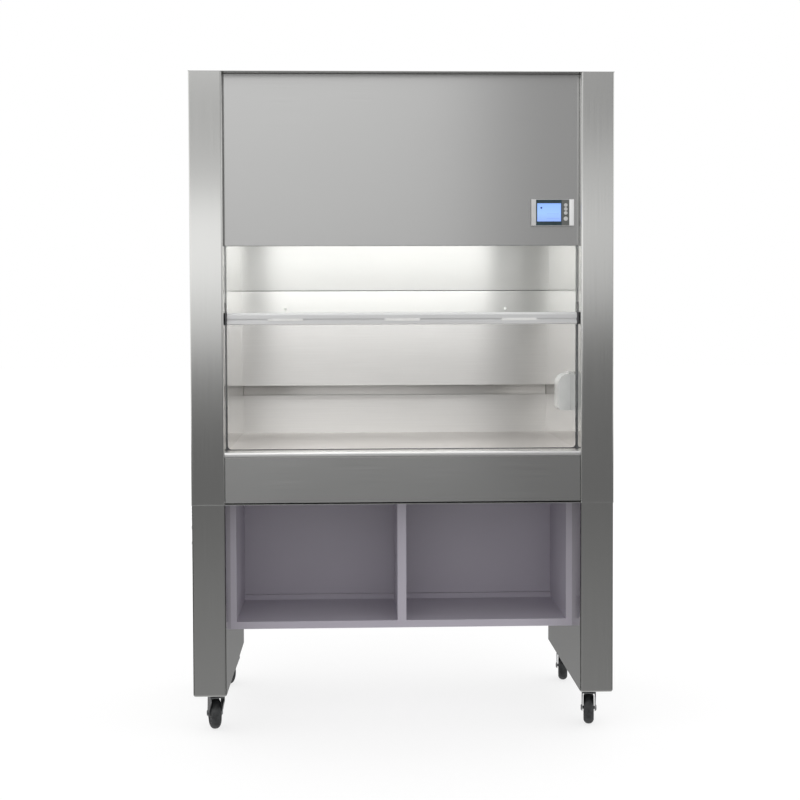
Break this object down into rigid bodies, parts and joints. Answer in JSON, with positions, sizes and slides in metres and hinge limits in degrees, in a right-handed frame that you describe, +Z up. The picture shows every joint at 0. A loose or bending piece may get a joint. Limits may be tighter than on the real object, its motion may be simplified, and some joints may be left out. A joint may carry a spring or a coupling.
{
  "type": "ducted fume hood",
  "caption": "Floor-standing ducted fume hood with a counterbalanced sliding sash, baffled chamber, duct collar, control panel and open storage base on castors",
  "frame": {"origin": "on the floor, midway between the cabinet's side panels and midway between its front and rear", "axes": "+X to the user's right, +Y away from the user, +Z up"},
  "size_m": [1.3237, 0.8, 2.104],
  "materials": {
    "stainless_outer": "brushed stainless steel sheet",
    "stainless_liner": "satin brushed stainless steel sheet",
    "stainless_worktop": "satin brushed stainless steel",
    "sash_glass": "clear toughened glass",
    "sash_aluminium": "satin anodised extrusion",
    "grip_plastic": "pale moulded plastic",
    "guide_nylon": "black moulded nylon",
    "edge_rubber": "black extruded rubber",
    "zinc_steel": "zinc-plated steel",
    "cast_weight": "raw iron bar",
    "pulley_nylon": "white nylon",
    "motor_paint": "grey enamel",
    "lamp_glass": "opal lamp glass",
    "control_case": "fine-textured moulded ABS",
    "screen_blue": "backlit liquid crystal window",
    "button_rubber": "moulded silicone",
    "socket_white": "glossy moulded plastic",
    "drain_white": "white polypropylene",
    "drain_grey": "grey rigid vinyl pipe",
    "storage_panel": "satin grey coating",
    "castor_tyre": "black rubber tread"
  },
  "bodies": {
    "cabinet": {"left_side_shell": "stainless_outer", "right_side_shell": "stainless_outer", "front_panel": "stainless_outer", "apron_panel": "stainless_outer", "rear_panel": "stainless_outer", "top_panel": "stainless_outer", "bottom_panel": "stainless_outer", "front_sill": "stainless_outer", "base_left_panel": "stainless_outer", "base_right_panel": "stainless_outer", "side_liners": "stainless_liner", "upper_baffle": "stainless_liner", "middle_baffle": "stainless_liner", "lower_baffle": "stainless_liner", "chamber_ceiling": "stainless_liner", "work_surface": "stainless_worktop", "opening_trim": "edge_rubber", "lamp_housing": "zinc_steel", "sash_tracks": "zinc_steel", "pulley_brackets": "zinc_steel", "blower_housing": "zinc_steel", "duct_collar": "zinc_steel", "sash_cables": "zinc_steel", "weight_cables": "zinc_steel", "cable_wraps": "zinc_steel", "castor_plates": "zinc_steel", "blower_motor": "motor_paint", "lamp_tube": "lamp_glass", "controller_housing": "control_case", "display_screen": "screen_blue", "socket_box": "socket_white", "socket_faceplate": "socket_white", "drain_hose": "drain_white", "drain_fittings": "drain_white", "drain_pipe": "drain_grey", "storage_boards": "storage_panel", "storage_floor": "storage_panel", "storage_back": "storage_panel"},
    "sash": {"sash_glass": "sash_glass", "sash_rail": "sash_aluminium", "sash_grips": "grip_plastic", "sash_shoes": "guide_nylon"},
    "left_weight": {"left_counterweight": "cast_weight"},
    "right_weight": {"right_counterweight": "cast_weight"},
    "left_sheave": {"left_pulley": "pulley_nylon"},
    "right_sheave": {"right_pulley": "pulley_nylon"},
    "rotor": {"impeller": "zinc_steel"},
    "start_key": {"button_start": "button_rubber"},
    "down_key": {"button_down": "button_rubber"},
    "up_key": {"button_up": "button_rubber"},
    "lamp_key": {"button_lamp": "button_rubber"},
    "lid": {"socket_lid": "socket_white"},
    "front_left_castor": {"front_left_fork": "zinc_steel"},
    "front_left_roller": {"front_left_wheel": "castor_tyre"},
    "front_right_castor": {"front_right_fork": "zinc_steel"},
    "front_right_roller": {"front_right_wheel": "castor_tyre"},
    "rear_left_castor": {"rear_left_fork": "zinc_steel"},
    "rear_left_roller": {"rear_left_wheel": "castor_tyre"},
    "rear_right_castor": {"rear_right_fork": "zinc_steel"},
    "rear_right_roller": {"rear_right_wheel": "castor_tyre"}
  },
  "joints": [
    {"name": "sash_slide", "type": "slide", "parent": "cabinet", "child": "sash", "axis": [0, 0, 1], "range_m": [-0.389, 0.09], "deforming": ["sash_cables"]},
    {"name": "left_weight_slide", "type": "slide", "parent": "cabinet", "child": "left_weight", "axis": [0, 0, 1], "range_m": [-0.09, 0.389], "deforming": ["weight_cables"]},
    {"name": "right_weight_slide", "type": "slide", "parent": "cabinet", "child": "right_weight", "axis": [0, 0, 1], "range_m": [-0.09, 0.389]},
    {"name": "left_pulley_turn", "type": "hinge", "parent": "cabinet", "child": "left_sheave", "pos_m": [-0.585, -0.322, 1.98], "axis": [0, 1, 0], "range_deg": [-190, 800]},
    {"name": "right_pulley_turn", "type": "hinge", "parent": "cabinet", "child": "right_sheave", "pos_m": [0.585, -0.322, 1.98], "axis": [0, 1, 0], "range_deg": [-800, 190]},
    {"name": "impeller_spin", "type": "hinge", "parent": "cabinet", "child": "rotor", "pos_m": [0.04, 0.02, 1.812], "axis": [1, 0, 0], "continuous": true},
    {"name": "lid_hinge", "type": "hinge", "parent": "cabinet", "child": "lid", "pos_m": [0.534, -0.263, 1.1164], "axis": [0, 1, 0], "range_deg": [0, 100], "stiffness_Nm_per_rad": 0.05, "springref_deg": -34.38},
    {"name": "start_press", "type": "slide", "parent": "cabinet", "child": "start_key", "axis": [0, 1, 0], "range_m": [0, 0.0012], "stiffness_N_per_m": 400, "springref_m": -0.0005},
    {"name": "down_press", "type": "slide", "parent": "cabinet", "child": "down_key", "axis": [0, 1, 0], "range_m": [0, 0.0012], "stiffness_N_per_m": 400, "springref_m": -0.0005},
    {"name": "up_press", "type": "slide", "parent": "cabinet", "child": "up_key", "axis": [0, 1, 0], "range_m": [0, 0.0012], "stiffness_N_per_m": 400, "springref_m": -0.0005},
    {"name": "lamp_press", "type": "slide", "parent": "cabinet", "child": "lamp_key", "axis": [0, 1, 0], "range_m": [0, 0.0012], "stiffness_N_per_m": 400, "springref_m": -0.0005},
    {"name": "front_left_swivel", "type": "hinge", "parent": "cabinet", "child": "front_left_castor", "pos_m": [-0.586, -0.325, 0.11], "axis": [0, 0, 1], "continuous": true},
    {"name": "front_left_roll", "type": "hinge", "parent": "front_left_castor", "child": "front_left_roller", "pos_m": [-0.59374, -0.29395, 0.05], "axis": [0.9703, 0.2419, 0], "continuous": true},
    {"name": "front_right_swivel", "type": "hinge", "parent": "cabinet", "child": "front_right_castor", "pos_m": [0.586, -0.325, 0.11], "axis": [0, 0, 1], "continuous": true},
    {"name": "front_right_roll", "type": "hinge", "parent": "front_right_castor", "child": "front_right_roller", "pos_m": [0.59101, -0.29339, 0.05], "axis": [0.9877, -0.1564, 0], "continuous": true},
    {"name": "rear_left_swivel", "type": "hinge", "parent": "cabinet", "child": "rear_left_castor", "pos_m": [-0.586, 0.21, 0.11], "axis": [0, 0, 1], "continuous": true},
    {"name": "rear_left_roll", "type": "hinge", "parent": "rear_left_castor", "child": "rear_left_roller", "pos_m": [-0.59799, 0.23967, 0.05], "axis": [0.9272, 0.3746, 0], "continuous": true},
    {"name": "rear_right_swivel", "type": "hinge", "parent": "cabinet", "child": "rear_right_castor", "pos_m": [0.586, 0.21, 0.11], "axis": [0, 0, 1], "continuous": true},
    {"name": "rear_right_roll", "type": "hinge", "parent": "rear_right_castor", "child": "rear_right_roller", "pos_m": [0.59101, 0.24161, 0.05], "axis": [0.9877, -0.1564, 0], "continuous": true}
  ],
  "couplings": [
    {"joint": "left_weight_slide", "follows": "sash_slide", "ratio": -1},
    {"joint": "right_weight_slide", "follows": "sash_slide", "ratio": -1},
    {"joint": "left_pulley_turn", "follows": "sash_slide", "rad_per_m": -35.714},
    {"joint": "right_pulley_turn", "follows": "sash_slide", "rad_per_m": 35.714}
  ]
}
